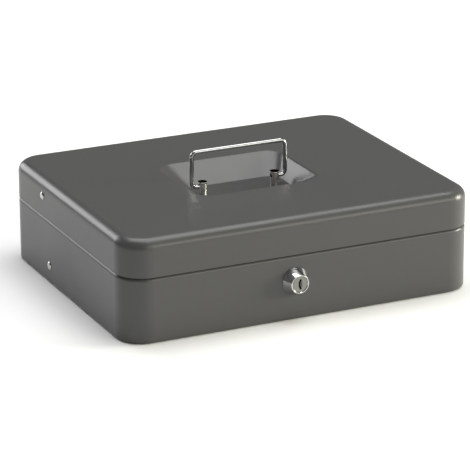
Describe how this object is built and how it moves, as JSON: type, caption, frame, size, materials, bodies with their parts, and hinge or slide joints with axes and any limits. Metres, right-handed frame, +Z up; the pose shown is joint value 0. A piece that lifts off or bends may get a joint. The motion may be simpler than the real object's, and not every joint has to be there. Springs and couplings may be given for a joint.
{
  "type": "cash box",
  "caption": "Lockable steel cash box with a hinged lid, sunk folding handle, cam lock, folding lid stays and a coin tray.",
  "frame": {"origin": "middle of the base's footprint, on the surface that the box stands on", "axes": "+X along the width, to the right as seen from the lock; -Y towards the lock's side; +Z up"},
  "size_m": [0.3074, 0.2583, 0.1092],
  "materials": {
    "anthracite_paint": "satin anthracite stove enamel",
    "wire_chrome": "bright plated wire",
    "lock_chrome": "bright plated bezel",
    "lock_face": "satin plated",
    "rivet_nickel": "nickel plated, barrel polished",
    "post_nickel": "nickel plated tube, dark inside",
    "zinc_plate": "bright zinc plate",
    "brass": "stamped",
    "tray_plastic": "fine matt moulded"
  },
  "bodies": {
    "base": {"base_shell": "anthracite_paint", "hinge_leaf_base": "anthracite_paint", "hinge_pin": "zinc_plate", "lock_housing": "lock_chrome", "lock_nut": "zinc_plate", "coin_tray": "tray_plastic", "tray_rail_left": "anthracite_paint", "stay_rivet_base_left": "rivet_nickel", "stay_bush_base_left": "zinc_plate", "tray_rail_right": "anthracite_paint", "stay_rivet_base_right": "rivet_nickel", "stay_bush_base_right": "zinc_plate"},
    "lid": {"lid_shell": "anthracite_paint", "hinge_leaf_lid": "anthracite_paint", "lock_keeper": "zinc_plate", "handle_post_left": "post_nickel", "post_washer_left": "zinc_plate", "stay_rivet_lid_left": "rivet_nickel", "stay_bush_lid_left": "zinc_plate", "handle_post_right": "post_nickel", "post_washer_right": "zinc_plate", "stay_rivet_lid_right": "rivet_nickel", "stay_bush_lid_right": "zinc_plate"},
    "handle": {"handle_bail": "wire_chrome"},
    "lock": {"lock_plug": "lock_face", "lock_wafers": "brass", "lock_cam": "zinc_plate", "cam_screw": "zinc_plate"},
    "lower_stay_left": {"stay_lower_left": "zinc_plate", "stay_rivet_elbow_left": "rivet_nickel"},
    "upper_stay_left": {"stay_upper_left": "zinc_plate"},
    "lower_stay_right": {"stay_lower_right": "zinc_plate", "stay_rivet_elbow_right": "rivet_nickel"},
    "upper_stay_right": {"stay_upper_right": "zinc_plate"}
  },
  "joints": [
    {"name": "lid_hinge", "type": "hinge", "parent": "base", "child": "lid", "pos_m": [0, 0.1248, 0.0522], "axis": [-1, 0, 0], "range_deg": [0, 100]},
    {"name": "handle_swing", "type": "hinge", "parent": "lid", "child": "handle", "pos_m": [0, 0, 0.078], "axis": [1, 0, 0], "range_deg": [-88, 88]},
    {"name": "lock_turn", "type": "hinge", "parent": "base", "child": "lock", "pos_m": [-0.0086, -0.1225, 0.0325], "axis": [0, 1, 0], "range_deg": [0, 90]},
    {"name": "stay_lower_left_turn", "type": "hinge", "parent": "base", "child": "lower_stay_left", "pos_m": [-0.148, 0.0375, 0.0155], "axis": [-1, 0, 0], "range_deg": [0, 100]},
    {"name": "stay_upper_left_turn", "type": "hinge", "parent": "lid", "child": "upper_stay_left", "pos_m": [-0.1465, 0.05, 0.072], "axis": [1, 0, 0], "range_deg": [0, 100]},
    {"name": "stay_lower_right_turn", "type": "hinge", "parent": "base", "child": "lower_stay_right", "pos_m": [0.148, 0.0375, 0.0155], "axis": [-1, 0, 0], "range_deg": [0, 100]},
    {"name": "stay_upper_right_turn", "type": "hinge", "parent": "lid", "child": "upper_stay_right", "pos_m": [0.1465, 0.05, 0.072], "axis": [1, 0, 0], "range_deg": [0, 100]}
  ],
  "couplings": [
    {"joint": "stay_lower_left_turn", "follows": "lid_hinge", "ratio": 1},
    {"joint": "stay_upper_left_turn", "follows": "lid_hinge", "ratio": 1},
    {"joint": "stay_lower_right_turn", "follows": "lid_hinge", "ratio": 1},
    {"joint": "stay_upper_right_turn", "follows": "lid_hinge", "ratio": 1}
  ]
}
